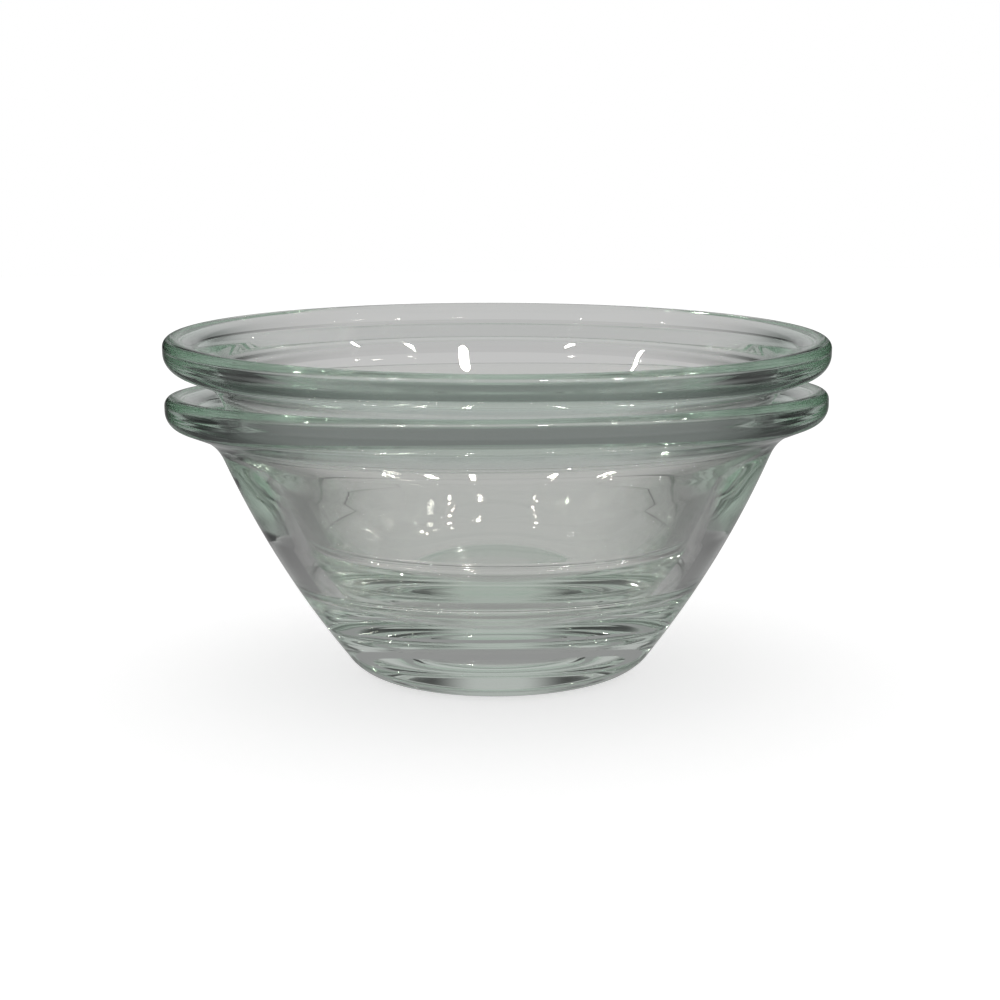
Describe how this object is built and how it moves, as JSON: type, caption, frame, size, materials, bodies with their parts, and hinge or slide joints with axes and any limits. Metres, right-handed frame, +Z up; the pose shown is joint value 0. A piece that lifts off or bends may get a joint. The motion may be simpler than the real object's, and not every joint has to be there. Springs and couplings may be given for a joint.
{
  "type": "prep bowl",
  "caption": "Nested round prep bowls of clear pressed glass with thick flared lips; the upper bowl leans a little in the lower one and lifts out.",
  "frame": {"origin": "centre of the lower bowl's foot, on the table", "axes": "+Z up along the lower bowl's axis, -Y towards the front, where the upper bowl's rim is lowest"},
  "size_m": [0.1052, 0.1058, 0.058],
  "materials": {
    "pressed_glass": "clear fire-polished pressed glass with a pale green cast in its thick parts"
  },
  "bodies": {
    "lower_bowl": {"lower_bowl": "pressed_glass"},
    "upper_bowl": {"upper_bowl": "pressed_glass"}
  },
  "joints": [
    {"name": "upper_bowl_lift", "type": "slide", "parent": "lower_bowl", "child": "upper_bowl", "axis": [0, 0, 1], "range_m": [0, 0.06]}
  ]
}
